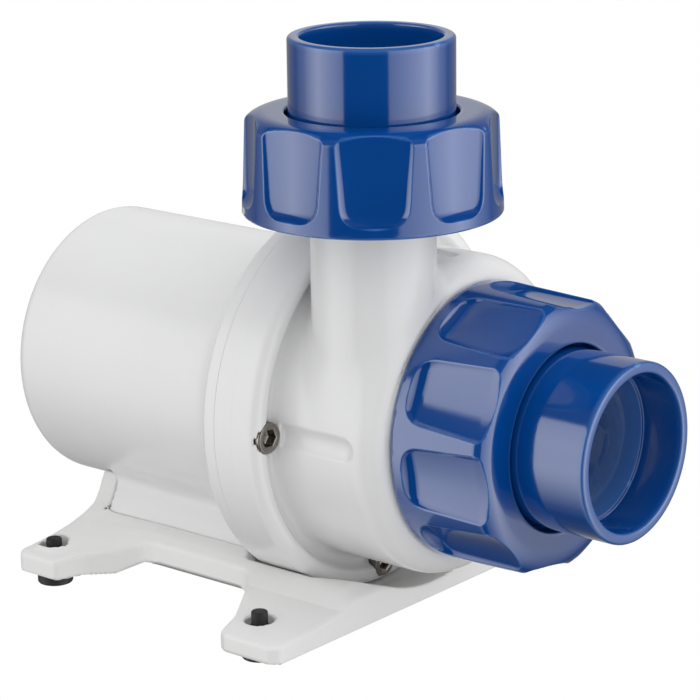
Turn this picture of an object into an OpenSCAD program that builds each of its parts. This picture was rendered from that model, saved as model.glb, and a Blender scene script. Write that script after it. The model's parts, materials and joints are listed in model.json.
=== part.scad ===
// Compact wet-rotor pool pump: a white moulded motor and volute on a four-footed base,
// with a union nut and a solvent-weld tailpiece on the inlet and on the outlet.
// Inside the modules x runs along the pump axis from the outlet's axis towards the inlet,
// y across the pump and z up from the floor. The last lines move that to the part's origin,
// which is on the floor below the middle of the whole pump.

/* [Body] */
// Height of the pump axis above the floor
axis_h = 68; // [68:1:76]
// Outside diameter of the motor barrel
motor_d = 90; // [86:1:92]
// Distance from the outlet's axis back to the motor's rear face
motor_back = 140; // [136:1:160]
// Distance from the outlet's axis back to the seam between motor and volute
seam_back = 37; // [37:1:37]
// Diameter of the bolted flange
flange_d = 123; // [120:1:123]
// Thickness of the volute's flange
flange_t = 17; // [16:0.5:18]
// Diameter of the volute drum
drum_d = 101; // [98:1:102]
// Distance from the outlet's axis to the drum's front face
drum_front = 17; // [16:0.5:17]

/* [Outlet] */
// Distance from the pump axis to the outlet's axis, sideways
outlet_offset = 29; // [27:1:31]
// Height of the outlet's rim above the floor
outlet_top = 190; // [188:1:196]
// Outside diameter of the outlet riser
riser_d = 38; // [36:1:40]
// Bore of the outlet's pipe socket
outlet_socket_d = 42.6; // [42.4:0.1:43]

/* [Inlet] */
// Distance from the outlet's axis to the inlet's rim
inlet_front = 76.5; // [76:0.5:80]
// Bore of the inlet's pipe socket
inlet_socket_d = 48.6; // [48.4:0.1:49]
// Size of the inlet's union compared with the outlet's
inlet_scale = 1.113; // [1.1:0.001:1.12]

/* [Union] */
// Length of the outlet's union nut
nut_l = 30.5; // [30:0.5:32]
// Diameter of the nut at its open end
nut_d = 78.4; // [77:0.2:79]
// Diameter of the nut at its shoulder
nut_tip_d = 76.8; // [75:0.2:77]
// Diameter of the hole that the tailpiece passes through
nut_hole_d = 52.2; // [51.6:0.2:52.6]
// Outside diameter of the outlet's tailpiece
tail_d = 50; // [49.6:0.2:50.4]
// How far the tailpiece stands out of its nut
tail_out = 22.5; // [22:0.5:24]
// Number of grip flutes round the outlet's nut
flutes = 9; // [9:1:9]
// Number of grip flutes round the inlet's nut
inlet_flutes = 10; // [10:1:10]
// Width of the union's thread, across its crests
thread_d = 65.4; // [65:0.2:65.4]

/* [Base] */
// Distance of the front feet from the pump axis
front_foot_y = 62.5; // [60:0.5:64]
// Distance of the rear feet from the pump axis
rear_foot_y = 53.3; // [50:0.5:56]
// Distance from the outlet's axis back to the front feet
front_foot_back = 19; // [17:0.5:20]
// Distance from the outlet's axis back to the rear feet
rear_foot_back = 116.5; // [114:0.5:118]
// Height of the base's underside above the floor
base_z = 5.5; // [5:0.5:6]
// Height of the pads round the feet
pad_z = 12.5; // [12:0.5:13]

/* [Hidden] */

$fn = 96;
eps = 0.02;             // how far a cutting shape runs past a face
fit = 0.05;             // gap between pieces of one body that seat on each other
run_fit = 0.04;         // radial running clearance of the bushings on the shaft

seam_x = -seam_back;
rear_x = -motor_back;
flange_x = seam_x + flange_t;
flange_r = flange_d / 2;
drum_r = drum_d / 2;
motor_r = motor_d / 2;
motor_wall = 3.5;
gland_out = 14;         // length of the gland behind the motor
centre_x = (inlet_front + rear_x - gland_out) / 2;

// Casing bolts
bolt_circle_r = 55;
bolt_r = 3;
bolt_head_r = 5;
bolt_head_h = 6;
bolt_seat_x = flange_x - bolt_head_h;
insert_r = 3.9;
insert_l = 5.6;

// Water passages
riser_bore_r = 15;
inlet_bore_r = 17;
impeller_r = 30;
chamber_r = 33;
can_front_x = -11;
passage_r = 34;         // radius of the volute passage's centre line

// Rotor can
can_in_r = 23;
can_out_r = 24.2;
can_skirt_r = 37;
can_rim_r = 47;
can_rim_t = 3;
can_back_x = -118;
shaft_r = 4;
shaft_back_x = -114;
shaft_front_x = 20;
rubber_r = 6;

module along_x() rotate([0, 90, 0]) children();
module on_axis() translate([0, 0, axis_h]) children();
module placed() translate([-centre_x, 0, 0]) children();

// A tube round the pump axis from x0 to x1
module tube_x(x0, x1, r_out, r_in) {
    on_axis() translate([x0, 0, 0]) along_x() difference() {
        cylinder(r = r_out, h = x1 - x0);
        translate([0, 0, -eps]) cylinder(r = r_in, h = x1 - x0 + 2 * eps);
    }
}

// A bar round the pump axis from x0 to x1
module bar_x(x0, x1, r) on_axis() translate([x0, 0, 0]) along_x() cylinder(r = r, h = x1 - x0);

// A cone round the pump axis from radius ra at x0 to rb at x1
module cone_x(x0, x1, ra, rb) {
    on_axis() translate([x0, 0, 0]) along_x() cylinder(r1 = ra, r2 = rb, h = x1 - x0);
}

// Copies at the four casing bolts, on the pump's sides, top and bottom
module at_bolts() {
    for (i = [0 : 3])
        on_axis() rotate([90 * i, 0, 0]) translate([0, 0, bolt_circle_r]) children();
}

// ---------------------------------------------------------------- motor side

pedestal_back_x = -112;
pedestal_front_x = -50;
pedestal_z = base_z + 3.2;
pedestal_top_z = 31;
pedestal_low_y = 32;
pedestal_high_y = 26;

module pedestal(grow = 0) {
    translate([pedestal_back_x - grow, 0, 0]) rotate([90, 0, 90])
        linear_extrude(pedestal_front_x - pedestal_back_x + 2 * grow)
            polygon([[-pedestal_low_y - grow, pedestal_z - grow],
                [pedestal_low_y + grow, pedestal_z - grow],
                [pedestal_low_y + grow, 20], [pedestal_high_y + grow, pedestal_top_z],
                [pedestal_high_y + grow, axis_h - 30], [-pedestal_high_y - grow, axis_h - 30],
                [-pedestal_high_y - grow, pedestal_top_z], [-pedestal_low_y - grow, 20]]);
}

flare_x = -60;
flare_top_x = -44;
rim_r = flange_r - 0.2;
base_screw_xs = [-100, -62];
base_screw_y = 20;
gland_z = axis_h - 18;
gland_hole_r = 8;
gland_thread_r = gland_hole_r - fit;

module motor_outer() {
    on_axis() along_x() rotate_extrude() {
        polygon([[0, rear_x], [motor_r - 4, rear_x], [motor_r, rear_x + 4], [motor_r, flare_x],
            [motor_r + 1.5, flare_x + 6], [motor_r + 5.5, flare_x + 11],
            [rim_r, flare_top_x], [rim_r, seam_x], [0, seam_x]]);
        translate([motor_r - 4, rear_x + 4]) circle(r = 4, $fn = 48);
    }
    pedestal();
}

module motor_housing() placed() color("whitesmoke") difference() {
    motor_outer();
    bar_x(rear_x + 4, seam_x + eps, motor_r - motor_wall);
    bar_x(seam_x - 0.1, seam_x + eps, can_rim_r - 4);
    for (s = [-1, 1])
        translate([pedestal_back_x + 4, s * 6 + (s < 0 ? -12 : 0), pedestal_z - eps])
            cube([pedestal_front_x - pedestal_back_x - 8, 12, 10]);
    at_bolts() translate([seam_x - insert_l - fit, 0, 0]) along_x()
        cylinder(r = insert_r + fit, h = insert_l + fit + eps);
    translate([rear_x - eps, 0, gland_z]) along_x() cylinder(r = gland_hole_r, h = 6);
    for (x = base_screw_xs, s = [-1, 1])
        translate([x, s * (base_screw_y + 4), pedestal_z - eps]) cylinder(r = 1.9, h = 9);
}

module thread_inserts() placed() color("goldenrod") at_bolts()
    translate([seam_x - insert_l, 0, 0]) along_x() difference() {
        cylinder(r = insert_r, h = insert_l);
        translate([0, 0, -eps]) cylinder(r = bolt_r + fit, h = insert_l + 2 * eps);
    }

module potting_plug() placed() color("dimgray") difference() {
    bar_x(rear_x + 4 + fit, rear_x + 14, motor_r - motor_wall - fit);
    translate([rear_x, 0, gland_z]) along_x() cylinder(r = 10.5, h = 20);
}

// Cable gland: threaded body with a hexagon collar, a rubber seal and a domed nut
cable_r = 3.6;
gland_flat_r = 11;

module cable_gland() placed() color("#303133") translate([0, 0, gland_z]) difference() {
    union() {
        translate([rear_x - 5, 0, 0]) along_x() cylinder(r = gland_flat_r, h = 4.95, $fn = 6);
        translate([rear_x - 9, 0, 0]) along_x() cylinder(r = 7, h = 5);
        translate([rear_x - 1, 0, 0]) along_x() cylinder(r = gland_thread_r, h = 11);
    }
    translate([rear_x - 6, 0, 0]) along_x() cylinder(r = 4.2, h = 20);
    translate([rear_x - 9 - eps, 0, 0]) along_x() cylinder(r = 5.6, h = 4);
}

module gland_seal() placed() color("#1d1d1d") translate([0, 0, gland_z]) difference() {
    translate([rear_x - 11, 0, 0]) along_x() cylinder(r = 5.5, h = 5.9);
    translate([rear_x - 12, 0, 0]) along_x() cylinder(r = cable_r, h = 9);
}

module gland_nut() placed() color("#303133") translate([0, 0, gland_z]) difference() {
    union() {
        translate([rear_x - 12, 0, 0]) along_x() cylinder(r = gland_flat_r - 0.5, h = 6.9, $fn = 6);
        translate([rear_x - gland_out, 0, 0]) along_x() cylinder(r1 = 6.5, r2 = 9, h = 2.5);
    }
    translate([rear_x - 11.1, 0, 0]) along_x() cylinder(r = 7 + fit, h = 8);
    translate([rear_x - gland_out - 1, 0, 0]) along_x() cylinder(r = 4.5, h = 5);
}

// Stator: a laminated ring with six teeth, one coil on each
stator_teeth = 6;
stator_x0 = -100;
stator_x1 = -50;
yoke_in_r = 36.5;
tooth_w = 8;
coil_in_r = 27;
coil_out_r = 35.2;

module stator_core() placed() color("#7d7f83") {
    difference() {
        union() {
            tube_x(stator_x0, stator_x1, motor_r - motor_wall - 0.1, yoke_in_r);
            for (i = [0 : stator_teeth - 1])
                on_axis() rotate([360 / stator_teeth * i, 0, 0])
                    translate([stator_x0, -tooth_w / 2, can_out_r])
                        cube([stator_x1 - stator_x0, tooth_w, yoke_in_r - can_out_r + 1]);
        }
        bar_x(stator_x0 - 1, stator_x1 + 1, can_out_r + 0.1);
    }
}

module stator_windings() placed() color("#b5652a") for (i = [0 : stator_teeth - 1])
    on_axis() rotate([360 / stator_teeth * i, 0, 0]) difference() {
        translate([stator_x0 - 5, -tooth_w / 2 - 4, coil_in_r])
            cube([stator_x1 - stator_x0 + 10, tooth_w + 8, coil_out_r - coil_in_r]);
        translate([stator_x0 - 0.2, -tooth_w / 2 - 0.2, coil_in_r - 1])
            cube([stator_x1 - stator_x0 + 0.4, tooth_w + 0.4, coil_out_r]);
    }

board_x = rear_x + 17;

module circuit_board() placed() color("#1f6b3a") difference() {
    bar_x(board_x, board_x + 1.6, 39);
    translate([board_x - 1, 0, gland_z]) along_x() cylinder(r = 6, h = 4);
}

module board_parts() placed() color("#2b2b2e") on_axis() {
    for (a = [0 : 60 : 359])
        rotate([a + 30, 0, 0]) translate([board_x + 1.65, -3, 27]) cube([2.2, 6, 5]);
    for (s = [-1, 1])
        translate([board_x + 1.65, s * 22, 28]) along_x() cylinder(r = 5, h = 10);
}

// ---------------------------------------------------------------- volute side

// Quarter of the volute passage: a tube of radius r turning from angle a0
module passage_quarter(a0, r) {
    on_axis() along_x() rotate([0, 0, a0]) rotate_extrude(angle = 90)
        translate([passage_r, 0]) circle(r = r, $fn = 64);
}

// The union's neck: a threaded head on the casing. z = 0 is its sealing face, k its scale
head_l = 14;
oring_r = 26.5;
oring_section = 1.6;
module neck_head(k, throat_r) {
    translate([0, 0, -head_l * k]) cylinder(r = thread_d / 2 * k - 0.3, h = head_l * k);
    translate([0, 0, -(head_l + 5) * k])
        cylinder(r1 = throat_r, r2 = thread_d / 2 * k - 2, h = 5 * k + eps);
}
groove_depth = 2 * oring_section + 0.1;
module oring_groove(k) rotate_extrude()
    translate([oring_r * k - oring_section - fit, -groove_depth])
        square([2 * (oring_section + fit), groove_depth + eps]);

shoulder_t = 5;
collar_t = 5;
union_gap = 0.15;
nut_room = 0.4;         // clearance of the inlet nut from the riser behind it
outlet_nut_z = outlet_top - tail_out - nut_l;
outlet_seal_z = outlet_top - tail_out - shoulder_t - collar_t - 2 * union_gap;
inlet_nut_x = inlet_front - (tail_out + nut_l) * inlet_scale;
inlet_seal_x = inlet_front - (tail_out + shoulder_t + collar_t) * inlet_scale - 2 * union_gap;

module at_outlet(z) translate([0, -outlet_offset, z]) children();
module at_inlet(x) on_axis() translate([x, 0, 0]) along_x() children();

groove_r = 47;
groove_w = 3.5;
drum_back_round = 5;
drum_front_round = 9;
edge_round = 2.5;

module casing_outer() {
    on_axis() along_x() rotate_extrude() {
        polygon([[0, seam_x + fit], [flange_r, seam_x + fit], [flange_r, flange_x - edge_round],
            [flange_r - edge_round, flange_x], [groove_r, flange_x],
            [groove_r, flange_x + groove_w], [drum_r - drum_back_round, flange_x + groove_w],
            [drum_r, flange_x + groove_w + drum_back_round],
            [drum_r, drum_front - drum_front_round], [drum_r - drum_front_round, drum_front],
            [0, drum_front]]);
        translate([flange_r - edge_round, flange_x - edge_round])
            circle(r = edge_round, $fn = 48);
        translate([drum_r - drum_back_round, flange_x + groove_w + drum_back_round])
            circle(r = drum_back_round, $fn = 48);
        translate([drum_r - drum_front_round, drum_front - drum_front_round])
            circle(r = drum_front_round, $fn = 48);
    }
    at_outlet(axis_h) cylinder(r = riser_d / 2, h = outlet_seal_z - axis_h - head_l);
    at_outlet(outlet_seal_z) neck_head(1, riser_d / 2 - eps);
    bar_x(drum_front - 1, inlet_seal_x - 1, 26);
    at_inlet(inlet_seal_x) neck_head(inlet_scale, 26);
}

channel_r = 6;
channel_end_x = 5;

module volute_casing() placed() color("whitesmoke") difference() {
    casing_outer();
    // seat of the rotor can and its seal
    bar_x(seam_x - 1, seam_x + can_rim_t + 0.1, can_rim_r + 0.1);
    tube_x(seam_x + can_rim_t, seam_x + can_rim_t + 2.6, 45.2, 41.8);
    bar_x(seam_x, can_front_x + 1, can_skirt_r + 0.2);
    // impeller chamber, volute passage and the two ways out
    bar_x(can_front_x, 7, chamber_r);
    passage_quarter(-90, 12);
    passage_quarter(0, 10.5);
    passage_quarter(90, 9);
    passage_quarter(180, 7.5);
    at_outlet(axis_h) cylinder(r = riser_bore_r, h = outlet_seal_z - axis_h + 1);
    bar_x(6, inlet_seal_x + 1, inlet_bore_r);
    bar_x(6, 10.6, 18.1);
    // room for the inlet nut to turn beside the riser
    tube_x(inlet_nut_x - nut_room, inlet_seal_x - 1, nut_d / 2 * inlet_scale + nut_room,
        thread_d / 2 * inlet_scale - 0.3);
    // seals of the unions
    at_outlet(outlet_seal_z) oring_groove(1);
    at_inlet(inlet_seal_x) oring_groove(inlet_scale);
    // bolts: shank, head and the channel that lets the key in
    at_bolts() translate([seam_x - 1, 0, 0]) along_x() cylinder(r = bolt_r + 0.3, h = flange_t + 2);
    at_bolts() translate([bolt_seat_x, 0, 0]) along_x()
        cylinder(r = bolt_head_r + 0.5, h = bolt_head_h + 1);
    at_bolts() translate([flange_x - 0.5, 0, 0]) along_x()
        cylinder(r = channel_r, h = channel_end_x - flange_x);
    at_bolts() translate([channel_end_x - 0.5, 0, 0]) sphere(r = channel_r, $fn = 64);
}

module casing_screws() placed() color("silver") at_bolts() difference() {
    union() {
        translate([bolt_seat_x + fit, 0, 0]) along_x() cylinder(r = bolt_head_r, h = bolt_head_h);
        translate([seam_x - insert_l + 0.4, 0, 0]) along_x()
            cylinder(r = bolt_r, h = bolt_seat_x + 1 - seam_x + insert_l);
    }
    translate([flange_x - 3, 0, 0]) along_x() cylinder(r = 2.85, h = 4, $fn = 6);
}

module casing_oring() placed() color("#1d1d1d") on_axis() along_x() rotate_extrude()
    translate([43.5, seam_x + can_rim_t + 1.35]) circle(r = 1.25, $fn = 40);

module wear_ring() placed() color("#8c8f93") tube_x(6.1, 10.5, 18, 15.35);

module shaft_spider() placed() color("#dcdcd6") difference() {
    union() {
        tube_x(12, 24, inlet_bore_r - fit, inlet_bore_r - 2);
        bar_x(12, 24, 8);
        for (a = [0, 120, 240])
            on_axis() rotate([a, 0, 0]) translate([12.5, -1.5, 7.2]) cube([11, 3, 8.5]);
    }
    bar_x(11, 21.5, rubber_r + fit);
}

module rotor_can() placed() color("#3a3d42") difference() {
    on_axis() along_x() rotate_extrude()
        polygon([[0, can_back_x], [can_out_r, can_back_x], [can_out_r, seam_x + 19],
            [can_skirt_r - 3, seam_x + 19], [can_skirt_r - 3, seam_x + fit],
            [can_rim_r, seam_x + fit], [can_rim_r, seam_x + can_rim_t],
            [can_skirt_r, seam_x + can_rim_t], [can_skirt_r, can_front_x], [0, can_front_x]]);
    bar_x(can_back_x + 8, can_front_x + 1, can_in_r);
    bar_x(can_back_x + 2, can_back_x + 9, rubber_r + fit);
}

// ---------------------------------------------------------------- shaft and rotor

module shaft() placed() color("ivory") bar_x(shaft_back_x, shaft_front_x, shaft_r);

// A rubber cup on a shaft end: it runs from x0 to x1, and bottom is +1 or -1 for its closed end
module tube_cup(x0, x1, bottom) difference() {
    bar_x(x0, x1, rubber_r);
    bar_x(bottom > 0 ? x0 - 1 : x0 + 1.3, bottom > 0 ? x1 - 1.3 : x1 + 1, shaft_r + fit);
}

module front_shaft_rubber() placed() color("#1d1d1d") tube_cup(13, 21.4, 1);
module rear_shaft_rubber() placed() color("#1d1d1d") tube_cup(can_back_x + 2.1, can_back_x + 8, -1);

bushing_r = 7;
rotor_x0 = -104;
rotor_x1 = -34;
magnet_r = 20.5;
core_r = 12;
sleeve_r = 21.6;
impeller_back_x = -9;
impeller_front_x = 5;
vanes = 6;

module front_thrust_washer() placed() color("ivory") tube_x(10.2, 11.8, 7, shaft_r + 0.1);
module rear_thrust_washer() placed() color("ivory") tube_x(-109.5, -107.9, 7, shaft_r + 0.1);

module front_bushing() placed() color("#55585c") tube_x(-8, 10, bushing_r, shaft_r + run_fit);
module rear_bushing() placed() color("#55585c") tube_x(-107, -89, bushing_r, shaft_r + run_fit);

module rotor_magnet() placed() color("#45484d") tube_x(rotor_x0, rotor_x1, magnet_r, core_r + fit);

module rotor_sleeve() placed() color("#5c5f66") difference() {
    union() {
        tube_x(rotor_x0 - 1.5, rotor_x1 + 1.5, sleeve_r, magnet_r + fit);
        tube_x(rotor_x0 - 1.5, rotor_x0 - fit, magnet_r + 1, bushing_r + fit);
        tube_x(rotor_x1 + fit, rotor_x1 + 1.5, magnet_r + 1, core_r + fit);
    }
}

// One backward-curved vane, a slice of a thin ring
module vane() intersection() {
    translate([0, 17, 0]) difference() {
        circle(r = 18.5);
        circle(r = 16.7);
    }
    difference() {
        circle(r = impeller_r - 0.5);
        circle(r = core_r - 1);
    }
    translate([0, -20]) square([60, 40]);
}

module impeller() placed() color("#3f464f") difference() {
    union() {
        bar_x(rotor_x0, impeller_back_x + 1, core_r);
        bar_x(-20, 1, core_r);
        bar_x(impeller_back_x, impeller_back_x + 2, impeller_r);
        tube_x(impeller_front_x - 2, impeller_front_x, impeller_r, 13.5);
        tube_x(impeller_front_x - 0.5, 9, 15, 13.5);
        cone_x(0.5, 9.5, core_r, bushing_r + 1.2);
        on_axis() translate([impeller_back_x + 1.5, 0, 0]) along_x()
            linear_extrude(impeller_front_x - impeller_back_x - 3)
                for (i = [0 : vanes - 1]) rotate(360 / vanes * i) vane();
    }
    bar_x(rotor_x0 - 1, 11, shaft_r + 1);
    bar_x(-8 - fit, 11, bushing_r + fit);
    bar_x(rotor_x0 - 1, -89 + fit, bushing_r + fit);
}

// ---------------------------------------------------------------- unions

// Union nut seen from its open end at z = 0, with its shoulder on top: k is its scale, n the
// number of its flutes and depth how deep they are before scaling
flute_r = 57;
module union_nut(k, n, depth) scale(k) difference() {
    union() {
        cylinder(r1 = nut_d / 2, r2 = nut_tip_d / 2, h = nut_l - 3);
        translate([0, 0, nut_l - 3]) cylinder(r1 = nut_tip_d / 2, r2 = nut_tip_d / 2 - 3, h = 3);
    }
    translate([0, 0, -1]) cylinder(r = thread_d / 2, h = nut_l - shoulder_t + 1);
    cylinder(r = nut_hole_d / 2, h = nut_l + 1);
    for (i = [0 : n - 1])
        rotate(360 / n * i) translate([nut_tip_d / 2 - depth + flute_r, 0, 2.5])
            cylinder(r = flute_r, h = nut_l - 7.5, $fn = 180);
}

// Tailpiece from its sealing face at z = 0 up to its rim, with the pipe socket at the top
socket_l = 14;
module tailpiece(k, socket_r, way_r) difference() {
    union() {
        cylinder(r = 31.3 * k, h = collar_t * k);
        cylinder(r = tail_d / 2 * k, h = (collar_t + shoulder_t + tail_out) * k + union_gap);
    }
    translate([0, 0, -1]) cylinder(r = way_r, h = 80);
    translate([0, 0, (collar_t + shoulder_t + tail_out) * k + union_gap - socket_l])
        cylinder(r = socket_r, h = socket_l + 1);
}

module oring(k) rotate_extrude() translate([oring_r * k, fit - groove_depth + oring_section])
    circle(r = oring_section, $fn = 40);

flute_depth = 3;
flute_turn = -50;       // turns one flute towards the corner between inlet and near side
module outlet_nut() placed() color("#0b4a92") at_outlet(outlet_nut_z)
    rotate(flute_turn) union_nut(1, flutes, flute_depth);
module outlet_tailpiece() placed() color("#0b4a92") at_outlet(outlet_seal_z + union_gap)
    tailpiece(1, outlet_socket_d / 2, 18);
module outlet_oring() placed() color("#1d1d1d") at_outlet(outlet_seal_z) oring(1);

inlet_flute_depth = 2.2;
inlet_flute_turn = 27.5; // how the nut's ribs stand when it is tightened
module inlet_nut() placed() color("#0b4a92") at_inlet(inlet_nut_x)
    rotate(inlet_flute_turn) union_nut(inlet_scale, inlet_flutes, inlet_flute_depth);
module inlet_tailpiece() placed() color("#0b4a92") at_inlet(inlet_seal_x + union_gap)
    tailpiece(inlet_scale, inlet_socket_d / 2, 20.5);
module inlet_oring() placed() color("#1d1d1d") at_inlet(inlet_seal_x) oring(inlet_scale);

// ---------------------------------------------------------------- base

base_back_x = -124;
bar_y = 41;
saddle_r = flange_r + 0.5;
saddle_front_r = 56;
stem_r = 2.6;
well_r = 4.6;
foot_r = 5.8;

// Half of the base's plan, on the +y side
module half_plan() polygon([[0, 0], [0, 75], [-3, 77], [-21, 77], [-24, 75], [-28, 64], [-42, bar_y],
    [-86, bar_y], [-95, 45], [-101, 52], [-104, 62], [-107, 64.5], [-121, 64.5],
    [base_back_x, 61], [base_back_x, 0]]);

// Front view of the base's upper side: high beside the pump, low at the feet
module side_profile() polygon([[-90, base_z], [90, base_z], [90, pad_z - 2], [74, pad_z - 1],
    [58, pad_z], [46, pad_z + 1.5], [38, 19], [32, 21], [32, 40], [-32, 40], [-32, 21], [-38, 19],
    [-46, pad_z + 1.5], [-58, pad_z], [-74, pad_z - 1], [-90, pad_z - 2]]);

module at_feet() {
    for (s = [-1, 1]) {
        translate([-front_foot_back, s * front_foot_y, 0]) children();
        translate([-rear_foot_back, s * rear_foot_y, 0]) children();
    }
}

module base() placed() color("white") difference() {
    intersection() {
        translate([0, 0, base_z]) linear_extrude(40) {
            half_plan();
            mirror([0, 1]) half_plan();
        }
        translate([base_back_x - 1, 0, 0]) rotate([90, 0, 90]) linear_extrude(130) side_profile();
        // side view: a wall up to the motor at the back, a low beam at the front
        translate([0, 90, 0]) rotate([90, 0, 0]) linear_extrude(180)
            polygon([[0, base_z - 1], [0, 14], [-6, 20], [-30, 21], [-106, 21], [-112, 36],
                [-117, 36], [base_back_x + 4, 18], [base_back_x, pad_z - 1],
                [base_back_x, base_z - 1]]);
    }
    // pocket of the motor's pedestal
    pedestal(0.15);
    translate([pedestal_front_x - 1, -pedestal_low_y - 0.15, pedestal_z - 0.15])
        cube([20, 2 * pedestal_low_y + 0.3, 40]);
    // saddle round the motor, its flare and the flange
    bar_x(base_back_x - 1, flare_x + 1, motor_r + 0.3);
    cone_x(flare_x - 4, flare_top_x - 2, motor_r + 0.3, saddle_r);
    bar_x(flare_top_x - 3, flange_x + 1, saddle_r);
    cone_x(flange_x + 0.9, 0.1, saddle_r, saddle_front_r);
    // arches under the side bars
    for (s = [-1, 1])
        translate([-86, s * 50 - 17, base_z - 1]) cube([42, 34, 5.5]);
    // wells and stem holes of the feet
    at_feet() translate([0, 0, base_z + 3]) cylinder(r = well_r, h = 20);
    at_feet() cylinder(r = stem_r + fit, h = 12);
    // screws from below
    for (x = base_screw_xs, s = [-1, 1])
        translate([x, s * (base_screw_y + 4), base_z - eps]) {
            cylinder(r = 2.2, h = 9);
            cylinder(r1 = 4.3, r2 = 2.2, h = 2.1);
        }
}

module rubber_feet() placed() color("#1f1f1f") at_feet() {
    cylinder(r1 = foot_r - 0.6, r2 = foot_r, h = 0.8);
    translate([0, 0, 0.8]) cylinder(r = foot_r, h = base_z - 0.85);
    cylinder(r = stem_r, h = 15);
    translate([0, 0, base_z + 3.05]) cylinder(r1 = 3.6, r2 = stem_r, h = 2.5);
}

module base_screws() placed() color("silver") for (x = base_screw_xs, s = [-1, 1])
    translate([x, s * (base_screw_y + 4), base_z]) {
        cylinder(r1 = 4.1, r2 = 2, h = 2.05);
        cylinder(r = 1.85, h = 11);
    }

motor_housing();
volute_casing();
base();
rubber_feet();
base_screws();
casing_screws();
thread_inserts();
casing_oring();
outlet_nut();
outlet_tailpiece();
outlet_oring();
inlet_nut();
inlet_tailpiece();
inlet_oring();
wear_ring();
shaft_spider();
rotor_can();
shaft();
front_shaft_rubber();
rear_shaft_rubber();
front_thrust_washer();
rear_thrust_washer();
impeller();
rotor_magnet();
rotor_sleeve();
front_bushing();
rear_bushing();
stator_core();
stator_windings();
circuit_board();
board_parts();
potting_plug();
cable_gland();
gland_nut();
gland_seal();
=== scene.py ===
"""Looks of the pool pump: white moulded motor, volute and base, blue unions, studio light.

Mouldings are fields turned into quads. Nuts, tailpieces, threads, screws and feet are turned from
rings of points. Shapes are in millimetres until they become meshes, which are in metres.
"""

import json
import math

import bpy
import numpy as np
from mathutils import Matrix, Vector


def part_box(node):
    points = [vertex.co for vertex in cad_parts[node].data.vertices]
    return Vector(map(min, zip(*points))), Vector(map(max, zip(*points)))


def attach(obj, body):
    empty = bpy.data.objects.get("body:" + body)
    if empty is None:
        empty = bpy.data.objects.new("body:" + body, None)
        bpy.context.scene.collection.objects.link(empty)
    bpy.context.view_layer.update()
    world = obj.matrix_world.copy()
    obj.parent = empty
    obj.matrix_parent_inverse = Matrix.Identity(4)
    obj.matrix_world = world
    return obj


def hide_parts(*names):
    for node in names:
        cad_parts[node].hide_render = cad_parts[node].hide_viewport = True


MM = 0.001

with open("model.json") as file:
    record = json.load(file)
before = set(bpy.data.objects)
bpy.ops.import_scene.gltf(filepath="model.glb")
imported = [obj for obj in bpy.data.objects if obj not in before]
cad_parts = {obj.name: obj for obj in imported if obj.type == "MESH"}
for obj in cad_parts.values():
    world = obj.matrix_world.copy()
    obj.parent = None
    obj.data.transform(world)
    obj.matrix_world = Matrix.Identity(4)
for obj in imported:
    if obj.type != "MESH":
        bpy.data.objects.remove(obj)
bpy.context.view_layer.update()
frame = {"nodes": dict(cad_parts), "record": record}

# ---------------------------------------------------------------- places, from the frame

mount = {m["name"]: m for m in frame["record"]["mounts"]}
OUT_X, OUT_Y = mount["outlet_socket"]["pos_m"][:2]
AXIS_Z = mount["inlet_socket"]["pos_m"][2]
# Shapes are in millimetres from this point on the pump's axis, level with the outlet's axis
CENTRE = np.array([OUT_X, 0, AXIS_Z])


def local(node):
    """A node's lowest and highest corners, in millimetres from CENTRE."""
    return [(np.array(corner) - CENTRE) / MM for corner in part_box(node)]


FLOOR = -AXIS_Z / MM
MOTOR_LO, MOTOR_HI = local("motor_housing")
CASING_LO, CASING_HI = local("volute_casing")
BASE_LO, BASE_HI = local("base")
SEAM = MOTOR_HI[0]
REAR = MOTOR_LO[0]
FLANGE_R = CASING_HI[1]
OUTLET_Y = OUT_Y / MM
OUTLET_SEAL = CASING_HI[2]
INLET_SEAL = CASING_HI[0]
INLET_SCALE = 1.113     # the inlet's union against the outlet's

# ---------------------------------------------------------------- fields
# A field is below zero inside the shape. These join fields with a fillet or an edge of radius r.


def both(a, b, r):
    """Intersection, its edge rounded to radius r."""
    return np.minimum(np.maximum(a, b), -r) + np.hypot(np.maximum(a + r, 0), np.maximum(b + r, 0))


def either(a, b, r):
    """Union, its inner corner filled to radius r."""
    return -both(-a, -b, r)


def cut(a, b, r):
    """a without b, the edge of the cut rounded to radius r."""
    return both(a, -b, r)


def bar(x, rad, x0, x1, r, edge0=0.4, edge1=0.4):
    """A round bar of radius r from x0 to x1."""
    return both(both(rad - r, x - x1, edge1), x0 - x, edge0)


def outline(u, v, corners):
    """Distance to a polygon, below zero inside it."""
    nearest = np.full(np.shape(u), np.inf)
    inside = np.ones(np.shape(u))
    for (au, av), (bu, bv) in zip(corners, corners[-1:] + corners[:-1]):
        eu, ev = bu - au, bv - av
        wu, wv = u - au, v - av
        t = np.clip((wu * eu + wv * ev) / (eu * eu + ev * ev), 0, 1)
        nearest = np.minimum(nearest, (wu - eu * t) ** 2 + (wv - ev * t) ** 2)
        above, below, left = v >= av, v < bv, eu * wv > ev * wu
        inside = np.where((above & below & left) | ~(above | below | left), -inside, inside)
    return inside * np.sqrt(nearest)


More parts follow.
